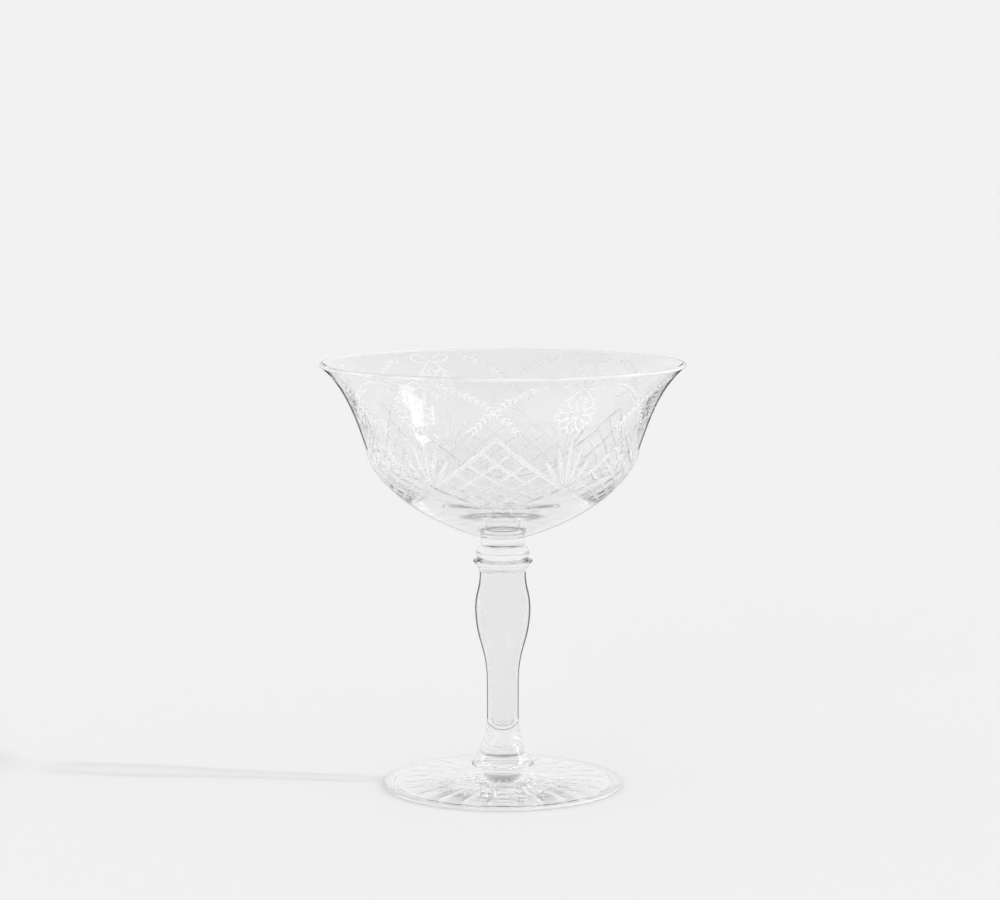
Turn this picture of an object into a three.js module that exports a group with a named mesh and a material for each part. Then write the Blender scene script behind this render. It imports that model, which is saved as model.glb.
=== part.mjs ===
// Champagne coupe: a wide shallow bowl on a hollow baluster stem and a disc foot.
// Every piece is a turned gather of colourless glass, and each stands face to face on the one below.
// Millimetres, +Z up along the axis of the glass, origin at the centre of the plane it stands on.
import * as THREE from "three";

// Whole glass
const HEIGHT = 133.4;
const RIM_RADIUS = 56.75;
const FOOT_RADIUS = 37.65;

// Heights of the stacked pieces, from the foot up; the bowl takes what is left
const FOOT_RISE = 4.0;
const CONE_HEIGHT = 11.0;
const BALUSTER_HEIGHT = 52.8;
const COLLAR_HEIGHT = 4.1;
const KNOP_HEIGHT = 4.0;
const MERESE_HEIGHT = 2.9;
const STEM_HEIGHT = CONE_HEIGHT + BALUSTER_HEIGHT + COLLAR_HEIGHT + KNOP_HEIGHT + MERESE_HEIGHT;
const BOWL_HEIGHT = HEIGHT - FOOT_RISE - STEM_HEIGHT;

// Radii of the faces on which one piece stands on the next
const FOOT_SEAT = 5.8;
const CONE_SEAT = 5.85;
const BALUSTER_SEAT = 7.2;
const COLLAR_SEAT = 7.5;
const KNOP_SEAT = 7.1;
const MERESE_SEAT = 6.75;

// Bowl
const WAIST_RADIUS = 42.6;
const WAIST_HEIGHT = 28.2;
const WAIST_WALL = 3.0;
const LIP_RADIUS = 0.65;
const BOWL_FLOOR = 6.2;

// Hollow stem
const SWELL_RADIUS = 8.65;
const SWELL_HEIGHT = 40.8;
const NECK_RADIUS = 4.95;
const NECK_HEIGHT = 17.0;
const STEM_WALL = 1.4;
const AIR_FLOOR = 2.4;

// Foot
const EDGE_RADIUS = 0.6;
const RING_INNER = 34.2;
const RING_STEP = 0.35;
const UNDER_RISE = 0.8;

// Facets round the axis and along each curve, for the wide pieces and the narrow ones
const WIDE = { around: 48, along: 7 };
const NARROW = { around: 24, along: 5 };

// One turned piece: the outline is (radius, height) from the axis round the outside and back.
function turned(name, outline, facets, finish) {
  const shape = new THREE.LatheGeometry(outline.getPoints(facets.along), facets.around);
  shape.rotateX(Math.PI / 2);
  const mesh = new THREE.Mesh(shape, new THREE.MeshStandardMaterial(finish));
  mesh.name = name;
  return mesh;
}

// Colourless glass; pieces differ only in how pale they look and how polished they are.
function glass(color, roughness) {
  return { color, roughness, metalness: 0, transparent: true, opacity: 0.35 };
}

// Bowl: thick rounded lower half, concave flare above the waist, and a half-round lip.
function bowl() {
  const lipLean = THREE.MathUtils.degToRad(50);
  const lipX = RIM_RADIUS - LIP_RADIUS;
  const lipZ = BOWL_HEIGHT - LIP_RADIUS;
  const outsideX = lipX + LIP_RADIUS * Math.cos(lipLean);
  const outsideZ = lipZ - LIP_RADIUS * Math.sin(lipLean);
  const innerWaist = WAIST_RADIUS - WAIST_WALL;
  const outline = new THREE.Path();
  outline.moveTo(0, 0);
  outline.lineTo(KNOP_SEAT, 0);
  outline.bezierCurveTo(34.6, 8.9, WAIST_RADIUS, 23.1, WAIST_RADIUS, WAIST_HEIGHT);
  outline.bezierCurveTo(WAIST_RADIUS + 2.6, 35.6, 48.6, 47.0, outsideX, outsideZ);
  outline.absarc(lipX, lipZ, LIP_RADIUS, -lipLean, Math.PI - lipLean, false);
  outline.bezierCurveTo(47.7, 48.1, innerWaist + 2.8, 35.9, innerWaist, WAIST_HEIGHT);
  outline.bezierCurveTo(innerWaist, 20.0, 24.0, BOWL_FLOOR, 0, BOWL_FLOOR);
  return turned("bowl", outline, WIDE, glass(0xeef3f2, 0.03));
}

// Merese: a thin wafer with slightly rounded edges.
function merese() {
  const round = 0.4;
  const side = MERESE_SEAT + round / 2;
  const outline = new THREE.Path();
  outline.moveTo(0, 0);
  outline.lineTo(MERESE_SEAT, 0);
  outline.quadraticCurveTo(side, 0, side, round);
  outline.lineTo(side, MERESE_HEIGHT - round);
  outline.quadraticCurveTo(side, MERESE_HEIGHT, MERESE_SEAT, MERESE_HEIGHT);
  outline.lineTo(0, MERESE_HEIGHT);
  return turned("merese", outline, NARROW, glass(0xe9f0ee, 0.04));
}

// Knop: a small solid bulb.
function knop() {
  const bulge = 9.4;
  const outline = new THREE.Path();
  outline.moveTo(0, 0);
  outline.lineTo(COLLAR_SEAT, 0);
  outline.quadraticCurveTo(bulge, KNOP_HEIGHT / 2, KNOP_SEAT, KNOP_HEIGHT);
  outline.lineTo(0, KNOP_HEIGHT);
  return turned("knop", outline, NARROW, glass(0xe6eeec, 0.04));
}

// Ring collar: flares from the top of the hollow stem to a thin projecting lip.
function ringCollar() {
  const lipReach = 9.4;
  const lipLow = 3.0;
  const lipHigh = 3.6;
  const outline = new THREE.Path();
  outline.moveTo(0, 0);
  outline.lineTo(BALUSTER_SEAT, 0);
  outline.quadraticCurveTo(BALUSTER_SEAT + 0.9, 2.0, lipReach - 0.2, lipLow);
  outline.quadraticCurveTo(lipReach + 0.1, (lipLow + lipHigh) / 2, lipReach - 0.3, lipHigh);
  outline.lineTo(COLLAR_SEAT, COLLAR_HEIGHT);
  outline.lineTo(0, COLLAR_HEIGHT);
  return turned("ring_collar", outline, NARROW, glass(0xe3ecea, 0.04));
}

// Hollow baluster: thin-walled stem that swells near its top. The long air hollow has a round
// bottom and opens at the top, where the ring collar closes it.
function hollowBaluster() {
  const swellInside = SWELL_RADIUS - STEM_WALL * 1.25;
  const neckInside = NECK_RADIUS - STEM_WALL;
  const topInside = BALUSTER_SEAT - STEM_WALL;
  const roundTop = AIR_FLOOR + neckInside;
  const outline = new THREE.Path();
  outline.moveTo(0, 0);
  outline.lineTo(CONE_SEAT, 0);
  outline.quadraticCurveTo(NECK_RADIUS, 3.0, NECK_RADIUS, 8.0);
  outline.lineTo(NECK_RADIUS, NECK_HEIGHT);
  outline.bezierCurveTo(NECK_RADIUS, 29.0, SWELL_RADIUS - 0.4, 29.6, SWELL_RADIUS, SWELL_HEIGHT);
  outline.bezierCurveTo(SWELL_RADIUS, 46.5, BALUSTER_SEAT - 0.2, 47.5, BALUSTER_SEAT, BALUSTER_HEIGHT);
  outline.lineTo(topInside, BALUSTER_HEIGHT);
  outline.bezierCurveTo(topInside - 0.2, 47.5, swellInside, 46.5, swellInside, SWELL_HEIGHT);
  outline.bezierCurveTo(swellInside - 0.4, 29.6, neckInside, 29.0, neckInside, NECK_HEIGHT);
  outline.lineTo(neckInside, roundTop);
  outline.absarc(0, roundTop, neckInside, 0, -Math.PI / 2, true);
  return turned("hollow_baluster", outline, NARROW, glass(0xeaf1ef, 0.03));
}

// Base cone: spreads the stem to a sharp lip, then undercuts to its seat on the foot.
function baseCone() {
  const lipReach = 9.85;
  const lipLow = 2.3;
  const lipHigh = 2.9;
  const outline = new THREE.Path();
  outline.moveTo(0, 0);
  outline.lineTo(FOOT_SEAT, 0);
  outline.quadraticCurveTo(FOOT_SEAT + 0.4, 1.6, lipReach - 0.3, lipLow);
  outline.quadraticCurveTo(lipReach + 0.2, (lipLow + lipHigh) / 2, lipReach - 0.4, lipHigh);
  outline.quadraticCurveTo(7.6, 5.6, CONE_SEAT, CONE_HEIGHT);
  outline.lineTo(0, CONE_HEIGHT);
  return turned("base_cone", outline, NARROW, glass(0xe3ecea, 0.04));
}

// Foot: a disc with a crowned top, a rounded edge, a flat ring to stand on and a hollowed middle.
function foot() {
  const edgeX = FOOT_RADIUS - EDGE_RADIUS;
  const outline = new THREE.Path();
  outline.moveTo(0, UNDER_RISE);
  outline.quadraticCurveTo(RING_INNER / 2, UNDER_RISE, RING_INNER - RING_STEP, RING_STEP);
  outline.lineTo(RING_INNER, 0);
  outline.lineTo(edgeX, 0);
  outline.absarc(edgeX, EDGE_RADIUS, EDGE_RADIUS, -Math.PI / 2, Math.PI / 2, false);
  outline.bezierCurveTo(26.0, 1.6, 14.0, 2.6, FOOT_SEAT + 0.2, FOOT_RISE);
  outline.lineTo(0, FOOT_RISE);
  return turned("foot", outline, WIDE, glass(0xe6eeec, 0.04));
}

// Stands each piece on top of the one before it.
function stacked(pieces) {
  const group = new THREE.Group();
  let level = 0;
  for (const [piece, height] of pieces) {
    piece.position.z = level;
    group.add(piece);
    level += height;
  }
  return group;
}

const stem = stacked([
  [baseCone(), CONE_HEIGHT],
  [hollowBaluster(), BALUSTER_HEIGHT],
  [ringCollar(), COLLAR_HEIGHT],
  [knop(), KNOP_HEIGHT],
  [merese(), MERESE_HEIGHT],
]);

const coupe = stacked([
  [foot(), FOOT_RISE],
  [stem, STEM_HEIGHT],
  [bowl(), BOWL_HEIGHT],
]);
coupe.name = "champagne_coupe";

export default coupe;
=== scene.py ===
import math

import bmesh
import bpy
import numpy as np
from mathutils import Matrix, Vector

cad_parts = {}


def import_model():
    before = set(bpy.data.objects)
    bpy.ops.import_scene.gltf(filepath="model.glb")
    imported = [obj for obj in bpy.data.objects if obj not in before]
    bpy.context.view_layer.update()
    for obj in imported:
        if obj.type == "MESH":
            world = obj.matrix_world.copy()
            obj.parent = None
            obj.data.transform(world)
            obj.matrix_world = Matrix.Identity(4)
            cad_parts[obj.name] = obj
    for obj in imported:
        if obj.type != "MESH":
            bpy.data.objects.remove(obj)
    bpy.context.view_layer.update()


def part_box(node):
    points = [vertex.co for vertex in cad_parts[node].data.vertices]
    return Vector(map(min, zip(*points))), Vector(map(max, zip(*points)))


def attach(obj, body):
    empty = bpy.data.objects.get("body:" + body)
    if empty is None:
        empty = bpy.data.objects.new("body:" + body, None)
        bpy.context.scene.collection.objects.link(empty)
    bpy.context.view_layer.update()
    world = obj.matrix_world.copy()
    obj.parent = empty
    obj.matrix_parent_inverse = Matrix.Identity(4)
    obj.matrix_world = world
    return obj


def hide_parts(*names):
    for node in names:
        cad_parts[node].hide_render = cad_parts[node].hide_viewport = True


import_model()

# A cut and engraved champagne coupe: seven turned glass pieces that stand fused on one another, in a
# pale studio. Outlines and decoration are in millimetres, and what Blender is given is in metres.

MM = 0.001

# Steps round the axis, and along a curve of an outline, from the shortest curves to the longest
AROUND = 240
SHORTEST, SHORT, ALONG, LONG, LONGEST = 5, 6, 14, 24, 30

# Material slots of a glass piece: plain skin, fused face, rounded rim or air hollow, the skin whose
# outline is greyed with painted shade, mitre cut, matt engraving
GLASS, JOINT, RIM, PAINTED_OUTLINE, CUT, FROST = range(6)

# Edges that turn more than this, in degrees, stay sharp
CREASE = 22

# A groove's tool starts this far above the skin, and its pointed ends rise nearly as far
CLEAR = 0.15
END_RISE = CLEAR * 0.9


# ---------------------------------------------------------------- outlines

def bezier(*points, steps=ALONG):
    """Points of a Bezier curve of any order, from its control points."""
    order = len(points) - 1
    t = np.linspace(0.0, 1.0, steps + 1)[:, None]
    curve = 0.0
    for i, p in enumerate(points):
        curve = curve + math.comb(order, i) * t**i * (1 - t) ** (order - i) * np.array(p, float)
    return curve


def arc(cx, cz, radius, start, end, steps=ALONG):
    """Points of a circular arc, angles in degrees from the outward direction."""
    a = np.radians(np.linspace(start, end, steps + 1))
    return np.column_stack([cx + radius * np.cos(a), cz + radius * np.sin(a)])


def line(*points):
    """Straight stretches through the given points."""
    return np.array(points, float)


def level(node):
    """Height of a CAD node's underside, in millimetres."""
    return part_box(node)[0].z / MM


def height(node):
    """How tall a CAD node is, in millimetres."""
    low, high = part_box(node)
    return (high.z - low.z) / MM


def reach(node):
    """Radius of a CAD node, in millimetres."""
    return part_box(node)[1].x / MM


def outward(points):
    """Unit normals along an outline that runs with the glass on its left."""
    slope = np.gradient(points, axis=0)
    out = np.column_stack([slope[:, 1], -slope[:, 0]])
    return out / np.linalg.norm(out, axis=1)[:, None]


# ---------------------------------------------------------------- turned pieces

def turned(name, stretches, base, materials):
    """A turned glass piece. Each stretch is (points, slot); points are (radius, height) in millimetres
    above base, from the axis round the outside and back, and stretches meet at sharp edges."""
    verts, faces, slots = [], [], []
    angles = np.arange(AROUND) * (2 * math.pi / AROUND)
    cos, sin = np.cos(angles), np.sin(angles)
    rings = {}

    def ring(radius, z):
        key = (round(radius, 5), round(z, 5))
        if key not in rings:
            start = len(verts)
            if radius < 1e-6:
                verts.append((0.0, 0.0, z))
                rings[key] = [start] * AROUND
            else:
                verts.extend(zip(radius * cos, radius * sin, [z] * AROUND))
                rings[key] = list(range(start, start + AROUND))
        return rings[key]

    for points, slot in stretches:
        for (r0, z0), (r1, z1) in zip(points[:-1], points[1:]):
            low, high = ring(r0, z0 + base), ring(r1, z1 + base)
            for j in range(AROUND):
                k = (j + 1) % AROUND
                corners = [low[j], low[k], high[k], high[j]]
                faces.append(list(dict.fromkeys(corners)))
                slots.append(slot)
    mesh = bpy.data.meshes.new(name)
    mesh.from_pydata([tuple(c * MM for c in v) for v in verts], [], faces)
    for material in materials:
        mesh.materials.append(material)
    mesh.polygons.foreach_set("material_index", slots)
    piece = bpy.data.objects.new(name, mesh)
    bpy.context.collection.objects.link(piece)
    return piece


def nearest(points, outline):
    """Squared distance from each point to an outline, and the place along it as a fractional index."""
    start, run = outline[:-1], np.diff(outline, axis=0)
    best = np.full(len(points), np.inf)
    place = np.zeros(len(points))
    for i in range(len(run)):
        t = np.clip((points - start[i]) @ run[i] / (run[i] @ run[i]), 0, 1)
        gap = ((points - start[i] - t[:, None] * run[i]) ** 2).sum(axis=1)
        closer = gap < best
        best[closer] = gap[closer]
        place[closer] = i + t[closer]
    return best, place


def numbers(items, field):
    """One whole number for every corner or face of a mesh."""
    values = np.empty(len(items), int)
    items.foreach_get(field, values)
    return values


def vectors(items, field):
    """One vector for every vertex, corner or face of a mesh."""
    values = np.empty(len(items) * 3)
    items.foreach_get(field, values)
    return values.reshape(-1, 3)


def beside_axis(places, base):
    """Places in space as (radius, height above base)."""
    return np.column_stack([np.hypot(places[:, 0], places[:, 1]), places[:, 2] - base])


def polish(piece, stretches, base):
    """Gives the turned skin the exact normals of its outline, and smooths each groove along its length."""
    mesh = piece.data
    mesh.polygons.foreach_set("use_smooth", [True] * len(mesh.polygons))
    mesh.set_sharp_from_angle(angle=math.radians(CREASE))
    normals = vectors(mesh.corner_normals, "vector")
    corners = vectors(mesh.vertices, "co")[numbers(mesh.loops, "vertex_index")] / MM
    middles = beside_axis(vectors(mesh.polygons, "center") / MM, base)
    turned_face = numbers(mesh.polygons, "material_index") <= PAINTED_OUTLINE
    gaps = np.array([nearest(middles, points)[0] for points, _ in stretches])
    face_owner = np.where(turned_face, gaps.argmin(axis=0), -1)
    owner = np.repeat(face_owner, numbers(mesh.polygons, "loop_total"))
    for i, (points, _) in enumerate(stretches):
        mine = np.flatnonzero(owner == i)
        at = corners[mine]
        flat = beside_axis(at, base)
        place = nearest(flat, points)[1]
        out = outward(points)
        index = np.arange(len(points))
        side = np.interp(place, index, out[:, 0])
        up = np.interp(place, index, out[:, 1])
        radius = np.maximum(flat[:, 0], 1e-9)
        normals[mine] = np.column_stack([side * at[:, 0] / radius, side * at[:, 1] / radius, up])
    normals /= np.linalg.norm(normals, axis=1)[:, None]
    mesh.normals_split_custom_set(normals.tolist())


def glass_piece(name, node, stretches, materials, cuts=()):
    """A turned piece that stands for a CAD node, with its grooves cut in."""
    base = level(node)
    piece = turned(name, stretches, base, materials)
    for grooves, slot in cuts:
        cut(piece, grooves, slot)
    polish(piece, stretches, base)
    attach(piece, "root")
    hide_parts(node)
    return piece


# ---------------------------------------------------------------- cutting

def skin(base, *outlines):
    """A turned surface to cut: radius, height and outward normal against the length along it."""
    points = np.vstack([outlines[0]] + [o[1:] for o in outlines[1:]]) + (0, base)
    run = np.concatenate([[0], np.cumsum(np.linalg.norm(np.diff(points, axis=0), axis=1))])
    return np.column_stack([run, points, outward(points)])


def run_at_height(face, z):
    """Length along a skin at which it reaches a height."""
    return np.interp(z, face[:, 2], face[:, 0])


def radius_at_run(face, run):
    """Radius of a skin at a length along it."""
    return np.interp(run, face[:, 0], face[:, 1])


def on_skin(face, turns, runs):
    """Places and normals on a skin, at turns in degrees from the front and lengths along the outline."""
    radius, z, side, up = (np.interp(runs, face[:, 0], face[:, i]) for i in range(1, 5))
    a = np.radians(turns)
    places = np.column_stack([radius * np.sin(a), -radius * np.cos(a), z])
    normals = np.column_stack([side * np.sin(a), -side * np.cos(a), up])
    return places, normals


def groove(face, turns, runs, depth, opening, ends=0.2):
    """Stations of a wedge that follows a path on a skin, drawn out to points over the given share of
    its length at each end. Depth is one number or one for each place on the path, and opening is the
    angle between the groove's middle plane and its sides."""
    places, normals = on_skin(face, np.asarray(turns, float), np.asarray(runs, float))
    t = np.linspace(0, 1, len(places))
    sharp = np.clip(np.minimum(t, 1 - t) / ends, 0, 1)
    deep = (np.asarray(depth) + CLEAR) * np.sqrt(sharp * (2 - sharp)) - END_RISE
    half = (deep + CLEAR) * math.tan(math.radians(opening))
    ahead = np.gradient(places, axis=0)
    across = np.cross(ahead, normals)
    across /= np.linalg.norm(across, axis=1)[:, None]
    top = places + CLEAR * normals
    bottom = places - deep[:, None] * normals
    return np.stack([bottom, top + half[:, None] * across, top - half[:, None] * across], axis=1)


def wedges(grooves):
    """One closed mesh from many grooves that don't touch each other."""
    verts, faces = [], []
    for stations in grooves:
        first = len(verts)
        verts.extend(map(tuple, stations.reshape(-1, 3) * MM))
        last = first + 3 * (len(stations) - 1)
        faces.append((first, first + 1, first + 2))
        faces.append((last + 2, last + 1, last))
        for a in range(first, last, 3):
            for i in range(3):
                j = (i + 1) % 3
                faces.append((a + j, a + i, a + 3 + i, a + 3 + j))
    mesh = bpy.data.meshes.new("wedges")
    mesh.from_pydata(verts, [], faces)
    work = bmesh.new()
    work.from_mesh(mesh)
    bmesh.ops.recalc_face_normals(work, faces=work.faces)
    bmesh.ops.triangulate(work, faces=work.faces)
    work.to_mesh(mesh)
    work.free()
    return mesh


def cut(piece, grooves, slot):
    """Takes the grooves out of a piece; their faces get the given material slot."""
    tool_mesh = wedges(grooves)
    tool_mesh.polygons.foreach_set("material_index", [slot] * len(tool_mesh.polygons))
    tool = bpy.data.objects.new("tool", tool_mesh)
    bpy.context.collection.objects.link(tool)
    for material in piece.data.materials:
        tool_mesh.materials.append(material)
    knife = piece.modifiers.new("cut", "BOOLEAN")
    knife.operation = "DIFFERENCE"
    knife.solver = "MANIFOLD"
    knife.material_mode = "INDEX"
    knife.object = tool
    done = bpy.data.meshes.new_from_object(piece.evaluated_get(bpy.context.evaluated_depsgraph_get()))
    piece.modifiers.clear()
    old, piece.data = piece.data, done
    done.name = piece.name
    bpy.data.objects.remove(tool)
    bpy.data.meshes.remove(tool_mesh)
    bpy.data.meshes.remove(old)


# ---------------------------------------------------------------- the cut band

# The decoration repeats in sectors, in degrees; its heights are measured down from the rim
SECTORS = 6
SECTOR = 360 / SECTORS
RIM_TOP = round(level("bowl") + height("bowl"), 2)

# Big diamonds: the turn of the first one, the heights of its corners, how far its edges would fall
# from the side corners down at the slope that they have there, and the strips of the lattice each way
CUT_TURN = -2.5
DIAMOND_TOP = RIM_TOP - 19.4
DIAMOND_SIDE = RIM_TOP - 35.1
DIAMOND_FOOT = RIM_TOP - 42.1
DIAMOND_FALL = 9.8
DIVISIONS = 5

# Depths of the cuts, and the angle from a cut's middle plane to its sides
LATTICE_DEPTH = 0.16
EDGE_DEPTH = 0.24
NEEDLE_DEPTH = 0.26
CUT_OPENING = 70

# The needles of a fan: lean in degrees, length, and degrees from the corner; they start just above it
FAN = ((0, 15.2, 0), (15, 14.0, 0.9), (34, 11.0, 2.4))
FAN_RISE = 1.2


def diamond(face, turn, u, v):
    """A place in one big diamond: u and v run from 0 at its top corner to 1 at its side corners."""
    down = u + v - 1
    upper_bend = DIAMOND_TOP - DIAMOND_SIDE - DIAMOND_FALL
    lower_bend = DIAMOND_FOOT - DIAMOND_SIDE + DIAMOND_FALL
    z = DIAMOND_SIDE - DIAMOND_FALL * down + np.where(down < 0, upper_bend, lower_bend) * down**2
    return turn + SECTOR / 2 * (u - v), run_at_height(face, z)


def diamond_edge(face, turn, slant):
    """The wide edge cut of one slant: from the top corner, past the side corner, to the next diamond."""
    t = np.linspace(-0.06, 1, 22)
    upper = diamond(face, turn, t, 0 * t) if slant > 0 else diamond(face, turn, 0 * t, t)
    t = np.linspace(0, 1.0, 20)[1:]
    turn += slant * SECTOR
    lower = diamond(face, turn, t, 1 + 0 * t) if slant > 0 else diamond(face, turn, 1 + 0 * t, t)
    return np.concatenate([upper[0], lower[0]]), np.concatenate([upper[1], lower[1]])


def lattice(face, turn, slant):
    """The fine cuts of one slant across one diamond."""
    across = np.linspace(0.0, 1.0, 26)
    cuts = []
    for k in range(1, DIVISIONS):
        fixed = np.full_like(across, k / DIVISIONS)
        u, v = (across, fixed) if slant > 0 else (fixed, across)
        cuts.append(groove(face, *diamond(face, turn, u, v), LATTICE_DEPTH, CUT_OPENING, ends=0.06))
    return cuts


def needle(face, turn, run, lean, length):
    """A straight pointed cut that starts at a place on the skin and leans to the right."""
    t = np.linspace(0, length, 9)
    sideways = math.sin(math.radians(lean)) * t
    up = math.cos(math.radians(lean)) * t
    turns = turn + np.degrees(sideways / radius_at_run(face, run + t))
    return groove(face, turns, run + up, NEEDLE_DEPTH, CUT_OPENING, ends=0.5)


def cut_band(face):
    """Six big diamonds filled with a lattice, and a fan of needles over each corner between them."""
    turns = [CUT_TURN + i * SECTOR for i in range(SECTORS)]
    work = []
    for slant in (1, -1):
        work.append((sum((lattice(face, turn, slant) for turn in turns), []), CUT))
    for slant in (1, -1):
        paths = [diamond_edge(face, turn, slant) for turn in turns]
        work.append(([groove(face, *path, EDGE_DEPTH, CUT_OPENING, ends=0.04) for path in paths], CUT))
    run = run_at_height(face, DIAMOND_SIDE) + FAN_RISE
    for lean, length, aside in FAN:
        ways = (1, -1) if lean else (1,)
        places = [(turn + SECTOR / 2 + way * aside, way) for turn in turns for way in ways]
        work.append(([needle(face, start, run, way * lean, length) for start, way in places], CUT))
    return work


# ---------------------------------------------------------------- the engraving

# Turn of the first crossing of two laurel strands; a bow and a daisy are half a sector from each
SWAG_TURN = -3.3

# A strand's Bezier points: share of half a sector from the crossing, and height
STRAND = (
    (-0.62, RIM_TOP - 3.1),
    (-0.33, RIM_TOP - 3.6),
    (-0.02, RIM_TOP - 10.0),
    (0.27, RIM_TOP - 16.8),
)
STRAND_DEPTH = 0.05
LEAF_DEPTH = 0.15
LEAF_LENGTH = 2.4
LEAF_PITCH = 2.0
FIRST_LEAF = 0.6
LEAF_LEAN = 38
LAUREL_OPENING = 66

# Bows and daisies are drawn as (right, up) about their middles
BOW_HEIGHT = RIM_TOP - 3.8
BOW_LOOP = ((0.5, 0.2), (5.5, 5.6), (9.5, 1.6), (6.2, -1.6), (0.7, -0.3))
BOW_TAIL = ((0.4, -0.6), (3.2, -1.6), (2.2, -3.8), (6.0, -5.2))
BOW_KNOT = ((-0.9, 0.0), (-0.3, 0.0), (0.3, 0.0), (0.9, 0.0))
BOW_DEPTH = 0.11
KNOT_DEPTH = 0.2
DAISY_HEIGHT = RIM_TOP - 11.8
PETALS = 10
EYE = 1.5
EYE_GAP = 4
PETAL_ROOT = EYE + 0.3
PETAL_TIP = 7.2
PETAL_HALF = 1.35
DAISY_DEPTH = 0.09
LINE_OPENING = 68


def drawn(face, turn, z, points):
    """A drawing in millimetres (right, up) about a place on the skin, as turns and lengths."""
    run = run_at_height(face, z) + points[:, 1]
    return turn + np.degrees(points[:, 0] / radius_at_run(face, run)), run


def scratch(face, turn, z, points, depth, ends=0.15):
    """A fine matt line of the engraver's wheel."""
    return groove(face, *drawn(face, turn, z, points), depth, LINE_OPENING, ends)


def strand(face, turn, way):
    """Stem path of one laurel strand: down from a bow, across the middle and out to a hanging tip."""
    half = SECTOR / 2
    path = bezier(*[(share * half, z) for share, z in STRAND], steps=60)
    return turn + way * path[:, 0], run_at_height(face, path[:, 1])


def leaf(face, turn, run, lean):
    """One lens-shaped leaf."""
    t = np.linspace(0, LEAF_LENGTH, 6)
    a = math.radians(lean)
    turns = turn + np.degrees(math.cos(a) * t / radius_at_run(face, run))
    return groove(face, turns, run + math.sin(a) * t, LEAF_DEPTH, LAUREL_OPENING, ends=0.5)


def laurel_work(face, way):
    """All six strands of one hand: the stems, then the leaves on each side of them."""
    stems, sides = [], {1: [], -1: []}
    for i in range(SECTORS):
        turns, runs = strand(face, SWAG_TURN + i * SECTOR, way)
        stems.append(groove(face, turns, runs, STRAND_DEPTH, LAUREL_OPENING, ends=0.05))
        places, _ = on_skin(face, turns, runs)
        length = np.concatenate([[0], np.cumsum(np.linalg.norm(np.diff(places, axis=0), axis=1))])
        for at in np.arange(FIRST_LEAF, length[-1], LEAF_PITCH):
            k = np.searchsorted(length, at)
            up = runs[k] - runs[k - 1]
            right = math.radians(turns[k] - turns[k - 1]) * radius_at_run(face, runs[k])
            flow = math.degrees(math.atan2(up, right))
            for side in (1, -1):
                sides[side].append(leaf(face, turns[k], runs[k], flow + side * LEAF_LEAN))
    return [(stems, FROST), (sides[1], FROST), (sides[-1], FROST)]


def bow_work(face):
    """A ribbon bow between neighbouring swags: two loops, then two waving tails and the knot."""
    loop = bezier(*BOW_LOOP, steps=22)
    tail = bezier(*BOW_TAIL)
    loops, tails = [], []
    for i in range(SECTORS):
        turn = SWAG_TURN + (i + 0.5) * SECTOR
        for way in (1, -1):
            loops.append(scratch(face, turn, BOW_HEIGHT, loop * (way, 1), BOW_DEPTH))
            tails.append(scratch(face, turn, BOW_HEIGHT, tail * (way, 1), BOW_DEPTH))
        tails.append(scratch(face, turn, BOW_HEIGHT, line(*BOW_KNOT), KNOT_DEPTH, ends=0.5))
    return [(loops, FROST), (tails, FROST)]


def petal_side(k, side):
    """One side of a petal of the daisy, widest just below its middle."""
    t = np.linspace(0, 1, 9)
    along = PETAL_ROOT + t * (PETAL_TIP - PETAL_ROOT)
    wide = PETAL_HALF * np.sin(math.pi * t**0.9)
    a = math.radians(360 * (k + 0.25) / PETALS)
    x = along * math.cos(a) - side * wide * math.sin(a)
    y = along * math.sin(a) + side * wide * math.cos(a)
    return np.column_stack([x, y])


def daisy_work(face):
    """An open daisy under each bow: ten pointed petals in outline round a small ring."""
    halves = {1: [], -1: []}
    for i in range(SECTORS):
        turn = SWAG_TURN + (i + 0.5) * SECTOR
        for side in (1, -1):
            start = 90 - side * 90
            lines = [petal_side(k, side) for k in range(PETALS)]
            lines.append(arc(0, 0, EYE, start + EYE_GAP, start + 180 - EYE_GAP))
            for points in lines:
                halves[side].append(scratch(face, turn, DAISY_HEIGHT, points, DAISY_DEPTH))
    return [(halves[1], FROST), (halves[-1], FROST)]


# ---------------------------------------------------------------- the star under the foot

STAR_RAYS = 24
STAR_START = 5.5
STAR_LENGTH = 27.3
STAR_SHALLOW, STAR_DEEP = 0.05, 0.3
STAR_OPENING = 77


def star_cuts(face):
    """Rays that start narrow at the middle and are deepest near the ring."""
    t = np.linspace(0, 1, 20)
    depth = STAR_SHALLOW + (STAR_DEEP - STAR_SHALLOW) * t
    runs = STAR_START + t * STAR_LENGTH
    rays = []
    for i in range(STAR_RAYS):
        turn = (i + 0.5) * 360 / STAR_RAYS
        rays.append(groove(face, np.full_like(t, turn), runs, depth, STAR_OPENING, ends=0.12))
    return [(rays, CUT)]


# ---------------------------------------------------------------- materials

# Finishes: scale of the noise, height of its ripple in metres, and least and greatest roughness
FIRE_POLISHED = 90.0, 0.000004, (0.0, 0.02)
GROUND_SMOOTH = 60.0, 0.000004, (0.0, 0.03)
WHEEL_CUT = 900.0, 0.000003, (0.12, 0.28)
STAR_CUT = 700.0, 0.000003, (0.02, 0.1)
ENGRAVED = 2500.0, 0.00001, (0.35, 0.6)

# Painted shade: a dark outline greyed onto the glass against how far it is turned edge-on, from 0 face-on
# to 1
FLARE_PAINTED_EDGE = ((0.0, 1.0), (0.84, 1.0), (0.9, 0.88), (0.95, 0.75), (1.0, 0.5))
STEM_PAINTED_EDGE = ((0.0, 1.0), (0.64, 1.0), (0.72, 0.8), (0.82, 0.58), (1.0, 0.3))
PALE_PAINTED_EDGE = ((0.0, 1.0), (0.9, 1.0), (1.0, 0.9))

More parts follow.
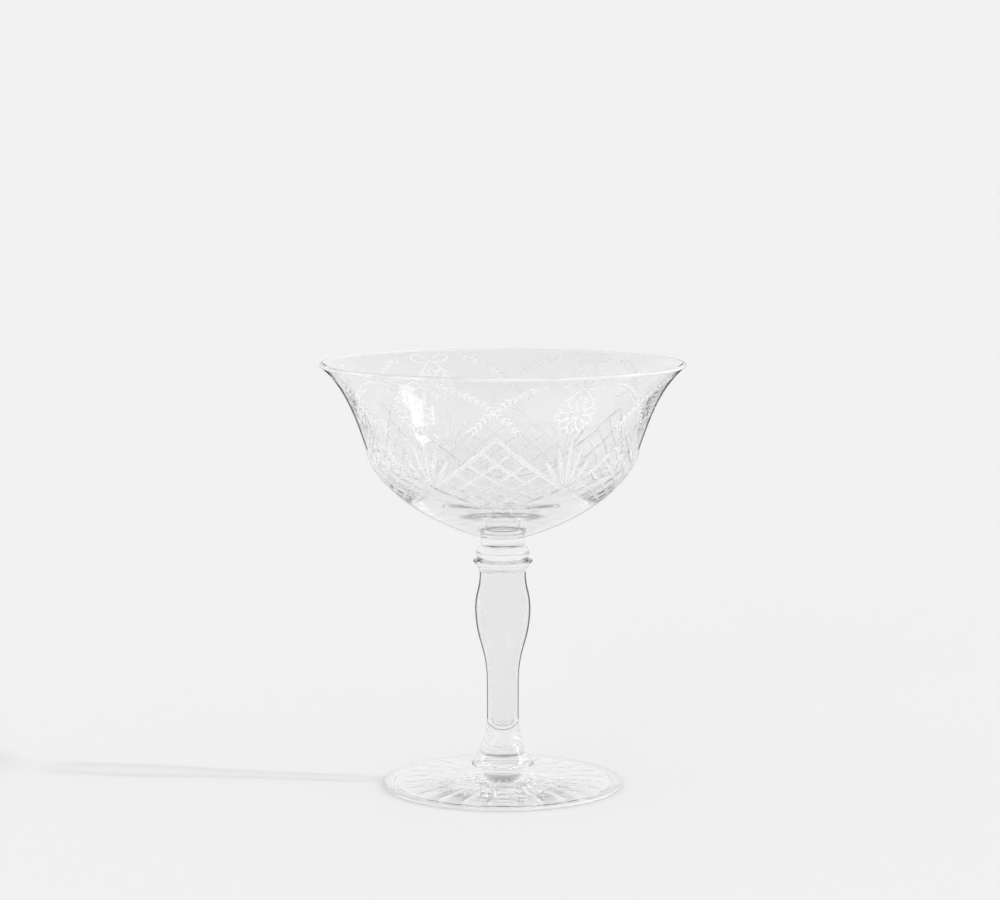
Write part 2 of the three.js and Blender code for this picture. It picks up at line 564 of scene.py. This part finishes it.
# Share of a lamp's light that gets through, against the same
ROUND_SHADE = ((0.0, 0.99), (0.35, 0.97), (0.62, 0.75), (1.0, 0.0))
STEM_SHADE = ((0.0, 0.93), (0.35, 0.85), (0.62, 0.45), (1.0, 0.0))
FLAT_SHADE = ((0.0, 1.0), (0.8, 1.0), (0.92, 0.97), (1.0, 0.8))
RIM_SHADE = ((0.0, 0.75), (0.5, 0.7), (1.0, 0.5))

GLASS_IOR = 1.52


def new_material(name):
    """A material with nodes, its nodes and its links."""
    mat = bpy.data.materials.new(name)
    mat.use_nodes = True
    return mat, mat.node_tree.nodes, mat.node_tree.links


def grey(value):
    """A grey as a colour."""
    return (value, value, value, 1)


def grey_ramp(nodes, links, source, stops):
    """Greys that follow a number from 0 to 1."""
    ramp = nodes.new("ShaderNodeValToRGB")
    links.new(source, ramp.inputs["Fac"])
    elements = ramp.color_ramp.elements
    while len(elements) < len(stops):
        elements.new(0.5)
    for element, (at, value) in zip(elements, stops):
        element.position = at
        element.color = grey(value)
    return ramp.outputs["Color"]


def edge_tone(nodes, links, stops):
    """A grey that falls off where the glass turns edge-on; on the coat it is painted shade, on the clear
    side it is the share of light let by.
    """
    facing = nodes.new("ShaderNodeLayerWeight")
    facing.inputs["Blend"].default_value = 0.5
    return grey_ramp(nodes, links, facing.outputs["Facing"], stops)


def glass(name, finish, grey_and_painted_shade, clarity=1.0, edge=PALE_PAINTED_EDGE, shade=ROUND_SHADE):
    """Colourless lead glass, with a grey that is partly its own and partly painted shade, set piece by
    piece. Its faint ripple and its roughness follow noise in the piece's own frame.
    Edge tints a coat that reflects nothing of its own with painted shade, a dark outline where the glass
    turns edge-on, so it greys both the reflection and what shows through; shade is how much of a lamp's
    light the glass lets by."""
    scale, ripple, rough = finish
    mat, nodes, links = new_material(name)
    shader = nodes["Principled BSDF"]
    shader.inputs["Transmission Weight"].default_value = clarity
    shader.inputs["IOR"].default_value = GLASS_IOR
    # The base grey is partly the glass's own and partly painted shade: darker on the stem and bowl, whiter
    # on the foot
    shader.inputs["Base Color"].default_value = grey(grey_and_painted_shade)
    shader.inputs["Coat Weight"].default_value = 1.0
    shader.inputs["Coat Roughness"].default_value = 0.0
    shader.inputs["Coat IOR"].default_value = 1.0
    # Painted shade: the coat tint greys the glass where it turns edge-on, a dark outline drawn into the
    # material
    links.new(edge_tone(nodes, links, edge), shader.inputs["Coat Tint"])
    place = nodes.new("ShaderNodeTexCoord")
    noise = nodes.new("ShaderNodeTexNoise")
    noise.inputs["Scale"].default_value = scale
    noise.inputs["Detail"].default_value = 3.0
    links.new(place.outputs["Object"], noise.inputs["Vector"])
    spread = nodes.new("ShaderNodeMapRange")
    spread.inputs["To Min"].default_value, spread.inputs["To Max"].default_value = rough
    links.new(noise.outputs["Fac"], spread.inputs["Value"])
    links.new(spread.outputs["Result"], shader.inputs["Roughness"])
    bump = nodes.new("ShaderNodeBump")
    bump.inputs["Distance"].default_value = ripple
    links.new(noise.outputs["Fac"], bump.inputs["Height"])
    links.new(bump.outputs["Normal"], shader.inputs["Normal"])
    light_through(nodes, links, shader, shade)
    return mat


def light_through(nodes, links, shader, shade):
    """Lets lamp light, and light on its way from the floor and the sky, pass straight through."""
    path = nodes.new("ShaderNodeLightPath")
    clear = nodes.new("ShaderNodeBsdfTransparent")
    links.new(edge_tone(nodes, links, shade), clear.inputs["Color"])
    seen = shader.outputs["BSDF"]
    for ray in ("Is Shadow Ray", "Is Diffuse Ray"):
        mix = nodes.new("ShaderNodeMixShader")
        links.new(path.outputs[ray], mix.inputs["Fac"])
        links.new(seen, mix.inputs[1])
        links.new(clear.outputs["BSDF"], mix.inputs[2])
        seen = mix.outputs["Shader"]
    links.new(seen, nodes["Material Output"].inputs["Surface"])


# Each piece's grey below is partly the glass's own and partly painted shade: darker on the stem and inside
# the bowl, whiter on the foot and its star
def flare_crystal():
    """Fire-polished outside of the bowl's flare, with a painted dark outline where it turns edge-on."""
    return glass("flare_crystal", FIRE_POLISHED, 0.97, edge=FLARE_PAINTED_EDGE)


def bowl_crystal():
    """Fire-polished skin of the rest of the bowl."""
    return glass("bowl_crystal", FIRE_POLISHED, 0.955)


def lip_crystal():
    """The bowl's fire-rounded lip."""
    return glass("lip_crystal", FIRE_POLISHED, 0.98, clarity=0.4)


def stem_crystal():
    """Fire-polished outside of the hollow stem, with a strong painted dark outline where it turns edge-on.
    """
    return glass("stem_crystal", FIRE_POLISHED, 0.92, edge=STEM_PAINTED_EDGE, shade=STEM_SHADE)


def hollow_crystal():
    """Skin of the air hollow inside the stem."""
    return glass("hollow_crystal", FIRE_POLISHED, 0.97)


def solid_crystal():
    """Fire-polished skin of the solid glass in the stem."""
    return glass("solid_crystal", FIRE_POLISHED, 0.98, shade=FLAT_SHADE)


def foot_crystal():
    """Ground and polished skin of the foot."""
    return glass("foot_crystal", GROUND_SMOOTH, 1.0, shade=FLAT_SHADE)


def foot_rim_crystal():
    """Rounded edge of the foot."""
    return glass("foot_rim_crystal", GROUND_SMOOTH, 0.98, clarity=0.5, shade=RIM_SHADE)


def bowl_cut():
    """Faces of the bowl's mitre cuts, with the faint drag of the wheel left in them."""
    return glass("bowl_cut", WHEEL_CUT, 0.98, clarity=0.7)


def star_cut():
    """Faces of the star under the foot."""
    return glass("star_cut", STAR_CUT, 1.0, clarity=0.85, shade=FLAT_SHADE)


def matt_engraving():
    """Copper-wheel engraving, left matt."""
    return glass("matt_engraving", ENGRAVED, 0.98, clarity=0.25)


def fused_joint():
    """Face on which two pieces are fused: light passes from one piece's glass into the next."""
    mat, nodes, links = new_material("fused_joint")
    nodes.remove(nodes["Principled BSDF"])
    clear = nodes.new("ShaderNodeBsdfTransparent")
    links.new(clear.outputs["BSDF"], nodes["Material Output"].inputs["Surface"])
    return mat


# ---------------------------------------------------------------- pieces

# What each piece has in its material slots
JOINED = fused_joint()
SOLID = solid_crystal()
BOWL_GLASS = (bowl_crystal(), JOINED, lip_crystal(), flare_crystal(), bowl_cut(), matt_engraving())
STEM_GLASS = (SOLID, JOINED)
HOLLOW_GLASS = (SOLID, JOINED, hollow_crystal(), stem_crystal())
FOOT = foot_crystal()
FOOT_GLASS = (FOOT, JOINED, foot_rim_crystal(), FOOT, star_cut())

# Radius of each piece's flat top; the bowl's flat underside is as wide as the knop's top
SEAT = {
    "foot": 5.8,
    "base_cone": 5.85,
    "hollow_baluster": 7.2,
    "ring_collar": 7.5,
    "knop": 7.1,
    "merese": 6.75,
}

# Bowl: radius and height of the waist, and the lean of the lip in degrees
WAIST = 42.6, 28.2
WAIST_WALL = 3.0
LIP = 0.65
LIP_LEAN = 50
BOWL_FLOOR = 6.2

# Hollow stem
STEM_WALL = 1.4
SWELL, SWELL_Z = 8.65, 40.8
NECK, NECK_Z = 4.95, 17.0
SPREAD_Z = 8.0
SPREAD_STEP = 11
AIR_FLOOR = 2.4


def build_bowl():
    """Thick rounded lower half, concave flare above the waist, half-round lip, and the decoration."""
    seat, joined = SEAT["knop"], SEAT["merese"]
    cx, cz = reach("bowl") - LIP, height("bowl") - LIP
    lean = math.radians(LIP_LEAN)
    outer_end = (cx + LIP * math.cos(lean), cz - LIP * math.sin(lean))
    inner_end = (cx - LIP * math.cos(lean), cz + LIP * math.sin(lean))
    inner = WAIST[0] - WAIST_WALL
    lower = bezier((seat, 0), (34.6, 8.9), (WAIST[0], 23.1), WAIST, steps=LONGEST)
    flare = bezier(WAIST, (WAIST[0] + 2.6, 35.6), (48.6, 47.0), outer_end, steps=LONG)
    flare_in = bezier(inner_end, (47.7, 48.1), (inner + 2.8, 35.9), (inner, WAIST[1]), steps=LONG)
    lower_in = bezier((inner, WAIST[1]), (inner, 20.0), (24.0, BOWL_FLOOR), (0, BOWL_FLOOR), steps=LONGEST)
    face = skin(level("bowl"), lower, flare)
    laurels = laurel_work(face, 1) + laurel_work(face, -1)
    return glass_piece("bowl_glass", "bowl", [
        (line((0, 0), (joined, 0)), JOINT),
        (line((joined, 0), (seat, 0)), GLASS),
        (lower, GLASS),
        (flare, PAINTED_OUTLINE),
        (arc(cx, cz, LIP, -LIP_LEAN, 180 - LIP_LEAN), RIM),
        (flare_in, GLASS),
        (lower_in, GLASS),
    ], BOWL_GLASS, cut_band(face) + laurels + bow_work(face) + daisy_work(face))


def build_merese():
    """A thin wafer with slightly rounded edges."""
    seat, edge, top = SEAT["merese"], 0.4, height("merese")
    side = seat + edge / 2
    return glass_piece("merese_glass", "merese", [
        (line((0, 0), (seat, 0)), JOINT),
        (bezier((seat, 0), (side, 0), (side, edge), steps=SHORTEST), GLASS),
        (line((side, edge), (side, top - edge)), GLASS),
        (bezier((side, top - edge), (side, top), (seat, top), steps=SHORTEST), GLASS),
        (line((seat, top), (0, top)), JOINT),
    ], STEM_GLASS)


def build_knop():
    """A small solid bulb."""
    low, high, joined = SEAT["ring_collar"], SEAT["knop"], SEAT["merese"]
    top, bulge = height("knop"), 9.4
    return glass_piece("knop_glass", "knop", [
        (line((0, 0), (low, 0)), JOINT),
        (bezier((low, 0), (bulge, top / 2), (high, top)), GLASS),
        (line((high, top), (joined, top)), GLASS),
        (line((joined, top), (0, top)), JOINT),
    ], STEM_GLASS)


def build_ring_collar():
    """Flares from the top of the hollow stem to a thin projecting lip."""
    low, high, lip, top = 3.0, 3.6, 9.4, height("ring_collar")
    seat, upper = SEAT["hollow_baluster"], SEAT["ring_collar"]
    hollow = seat - STEM_WALL
    return glass_piece("ring_collar_glass", "ring_collar", [
        (line((0, 0), (hollow, 0)), GLASS),
        (line((hollow, 0), (seat, 0)), JOINT),
        (bezier((seat, 0), (seat + 0.9, 2.0), (lip - 0.2, low)), GLASS),
        (bezier((lip - 0.2, low), (lip + 0.1, (low + high) / 2), (lip - 0.3, high), steps=SHORT), GLASS),
        (line((lip - 0.3, high), (upper, top)), GLASS),
        (line((upper, top), (0, top)), JOINT),
    ], STEM_GLASS)


def build_hollow_baluster():
    """A thin-walled stem that swells near its top, with a long air hollow that has a round bottom."""
    foot, seat, top = SEAT["base_cone"], SEAT["hollow_baluster"], height("hollow_baluster")
    swell_in, neck_in, seat_in = SWELL - STEM_WALL * 1.25, NECK - STEM_WALL, seat - STEM_WALL
    air = AIR_FLOOR + neck_in
    spread = bezier((foot, 0), (NECK, 3.0), (NECK, SPREAD_Z))
    swell = bezier((NECK, NECK_Z), (NECK, 29.0), (SWELL - 0.4, 29.6), (SWELL, SWELL_Z), steps=LONGEST)
    taper = bezier((SWELL, SWELL_Z), (SWELL, 46.5), (seat - 0.2, 47.5), (seat, top), steps=LONG)
    taper_in = bezier(
        (seat_in, top), (seat_in - 0.2, 47.5), (swell_in, 46.5), (swell_in, SWELL_Z), steps=LONG)
    swell_down = bezier(
        (swell_in, SWELL_Z), (swell_in - 0.4, 29.6), (neck_in, 29.0), (neck_in, NECK_Z), steps=LONGEST)
    return glass_piece("hollow_baluster_glass", "hollow_baluster", [
        (line((0, 0), (foot, 0)), JOINT),
        (spread[:SPREAD_STEP + 1], GLASS),
        (spread[SPREAD_STEP:], PAINTED_OUTLINE),
        (line((NECK, SPREAD_Z), (NECK, NECK_Z)), PAINTED_OUTLINE),
        (swell, PAINTED_OUTLINE),
        (taper, PAINTED_OUTLINE),
        (line((seat, top), (seat_in, top)), JOINT),
        (taper_in, RIM),
        (swell_down, RIM),
        (line((neck_in, NECK_Z), (neck_in, air)), RIM),
        (arc(0, air, neck_in, 0, -90), PAINTED_OUTLINE),
    ], HOLLOW_GLASS)


def build_base_cone():
    """Spreads the stem to a sharp lip, then undercuts to its seat on the foot."""
    low, high, lip, top = 2.3, 2.9, 9.85, height("base_cone")
    seat, upper = SEAT["foot"], SEAT["base_cone"]
    return glass_piece("base_cone_glass", "base_cone", [
        (line((0, 0), (seat, 0)), JOINT),
        (bezier((seat, 0), (seat + 0.4, 1.6), (lip - 0.3, low)), GLASS),
        (bezier((lip - 0.3, low), (lip + 0.2, (low + high) / 2), (lip - 0.4, high), steps=SHORT), GLASS),
        (bezier((lip - 0.4, high), (7.6, 5.6), (upper, top)), GLASS),
        (line((upper, top), (0, top)), JOINT),
    ], STEM_GLASS)


def build_foot():
    """A disc with a crowned top, a rounded edge, a flat ring to stand on and a hollowed middle."""
    edge, ring, step, rise, top = 0.6, 34.2, 0.35, 0.8, height("foot")
    seat = SEAT["foot"]
    crown = seat + 0.2
    edge_x = reach("foot") - edge
    under = bezier((0, rise), (ring / 2, rise), (ring - step, step), steps=LONG)
    return glass_piece("foot_glass", "foot", [
        (under, GLASS),
        (line((ring - step, step), (ring, 0)), GLASS),
        (line((ring, 0), (edge_x, 0)), GLASS),
        (arc(edge_x, edge, edge, -90, 90), RIM),
        (bezier((edge_x, 2 * edge), (26.0, 1.6), (14.0, 2.6), (crown, top), steps=LONG), GLASS),
        (line((crown, top), (seat, top)), GLASS),
        (line((seat, top), (0, top)), JOINT),
    ], FOOT_GLASS, star_cuts(skin(level("foot"), under)))


build_foot()
build_base_cone()
build_hollow_baluster()
build_ring_collar()
build_knop()
build_merese()
build_bowl()


# ---------------------------------------------------------------- studio

# Floor, in metres: half its side, and how far it lies under the foot so that the two don't touch
FLOOR_HALF = 9.0
FLOOR_DROP = 0.0001
PAPER_TONE = 0.96

# Brightness of the white cove against the sine of the elevation
COVE = (
    (0.0, 0.884), (0.1, 0.884), (0.25, 0.9), (0.45, 0.85),
    (0.6, 0.68), (0.75, 0.62), (0.85, 0.35), (1.0, 0.32),
)

# Light boxes: turn from the front, elevation, half width, half height and softness of the edge, all
# in degrees, then brightness
SOFT_BOX = 88, 25, 5, 7.5, 2.0, 4.5
STRIP = 71, 27, 0.8, 5, 0.4, 4.0
WINDOW = -70, 30, 42, 13, 1.0, 0.35

# Lamps: turn from the front, elevation and softness in degrees, then strength
KEY = 81, 24.5, 2.5, 1.4
FILL = -25, 14, 30, 0.8

# Camera: place in metres, tilt down in degrees, and lens in millimetres
CAMERA_PLACE = (-0.00087, -0.876, 0.2054)
CAMERA_TILT = 6.48
CAMERA_LENS = 101.9

# How often light may cross a glass skin before it is given up
CROSSINGS = 40


def floor():
    """Plain matt paper."""
    mesh = bpy.data.meshes.new("floor")
    corners = [(x * FLOOR_HALF, y * FLOOR_HALF, 0) for x, y in ((-1, -1), (1, -1), (1, 1), (-1, 1))]
    mesh.from_pydata(corners, [], [(0, 1, 2, 3)])
    plane = bpy.data.objects.new("floor", mesh)
    bpy.context.collection.objects.link(plane)
    mat, nodes, _ = new_material("paper")
    shader = nodes["Principled BSDF"]
    shader.inputs["Base Color"].default_value = grey(PAPER_TONE)
    shader.inputs["Roughness"].default_value = 1.0
    shader.inputs["Specular IOR Level"].default_value = 0.0
    mesh.materials.append(mat)
    plane.location.z = -FLOOR_DROP


def world():
    """A white cove, pale at the horizon and dim overhead, with a soft box and a strip on the right and
    a wide window on the left."""
    sky = bpy.data.worlds.new("studio")
    bpy.context.scene.world = sky
    sky.use_nodes = True
    nodes, links = sky.node_tree.nodes, sky.node_tree.links
    way = nodes.new("ShaderNodeTexCoord").outputs["Generated"]
    split = nodes.new("ShaderNodeSeparateXYZ")
    links.new(way, split.inputs[0])
    light = grey_ramp(nodes, links, split.outputs["Z"], COVE)
    for *shape, brightness in (SOFT_BOX, STRIP, WINDOW):
        glow = nodes.new("ShaderNodeMath")
        glow.operation = "MULTIPLY_ADD"
        links.new(light_box(nodes, links, way, *shape), glow.inputs[0])
        glow.inputs[1].default_value = brightness
        links.new(light, glow.inputs[2])
        light = glow.outputs["Value"]
    links.new(light, nodes["Background"].inputs["Color"])


def light_box(nodes, links, way, turn, up, half_width, half_height, soft):
    """One inside a rectangle of the sky and nought outside it."""
    t, e = math.radians(turn), math.radians(up)
    side = (math.cos(t), math.sin(t), 0.0)
    top = (-math.sin(t) * math.sin(e), math.cos(t) * math.sin(e), math.cos(e))
    inside = sky_step(nodes, links, way, towards(turn, up), 0.0, 0.1)
    for axis, half in ((side, half_width), (top, half_height)):
        outer = math.sin(math.radians(half + soft))
        inner = math.sin(math.radians(half))
        both = nodes.new("ShaderNodeMath")
        both.operation = "MULTIPLY"
        links.new(inside, both.inputs[0])
        links.new(sky_step(nodes, links, way, axis, outer, inner, True), both.inputs[1])
        inside = both.outputs["Value"]
    return inside


def sky_step(nodes, links, way, axis, nought, one, two_sided=False):
    """Goes smoothly from nought at one amount to one at another, by how far a way across the sky
    points along an axis. A two-sided step treats both ends of the axis alike."""
    along = nodes.new("ShaderNodeVectorMath")
    along.operation = "DOT_PRODUCT"
    along.inputs[1].default_value = axis
    links.new(way, along.inputs[0])
    amount = along.outputs["Value"]
    if two_sided:
        unsigned = nodes.new("ShaderNodeMath")
        unsigned.operation = "ABSOLUTE"
        links.new(amount, unsigned.inputs[0])
        amount = unsigned.outputs["Value"]
    step = nodes.new("ShaderNodeMapRange")
    step.interpolation_type = "SMOOTHSTEP"
    step.inputs["From Min"].default_value = nought
    step.inputs["From Max"].default_value = one
    links.new(amount, step.inputs["Value"])
    return step.outputs["Result"]


def towards(turn, up):
    """Unit vector at a turn from the front and an elevation, both in degrees."""
    t, e = math.radians(turn), math.radians(up)
    return Vector((math.sin(t) * math.cos(e), -math.cos(t) * math.cos(e), math.sin(e)))


def far_light(name, turn, up, softness, strength):
    """A far lamp, left out of reflections."""
    lamp = bpy.data.lights.new(name, "SUN")
    lamp.energy = strength
    lamp.angle = math.radians(softness)
    ob = bpy.data.objects.new(name, lamp)
    bpy.context.collection.objects.link(ob)
    ob.rotation_euler = (-towards(turn, up)).to_track_quat("-Z", "Y").to_euler()
    ob.visible_glossy = False
    ob.visible_transmission = False


def camera():
    """A long lens in front of the glass, looking slightly down on it."""
    lens = bpy.data.cameras.new("camera")
    lens.lens = CAMERA_LENS
    lens.sensor_width = 36.0
    lens.clip_start, lens.clip_end = 0.05, 60
    ob = bpy.data.objects.new("camera", lens)
    bpy.context.collection.objects.link(ob)
    ob.location = CAMERA_PLACE
    ob.rotation_euler = (math.radians(90 - CAMERA_TILT), 0, 0)
    bpy.context.scene.camera = ob


def light_paths(scene):
    """Plain colours, and paths long enough for light to cross every skin of the glass."""
    scene.view_settings.view_transform = "Standard"
    scene.cycles.max_bounces = CROSSINGS
    scene.cycles.transmission_bounces = CROSSINGS
    scene.cycles.transparent_max_bounces = CROSSINGS
    scene.cycles.glossy_bounces = 16
    scene.cycles.diffuse_bounces = 4
    scene.cycles.caustics_refractive = False
    scene.cycles.caustics_reflective = False


floor()
world()
far_light("key", *KEY)
far_light("fill", *FILL)
camera()
light_paths(bpy.context.scene)
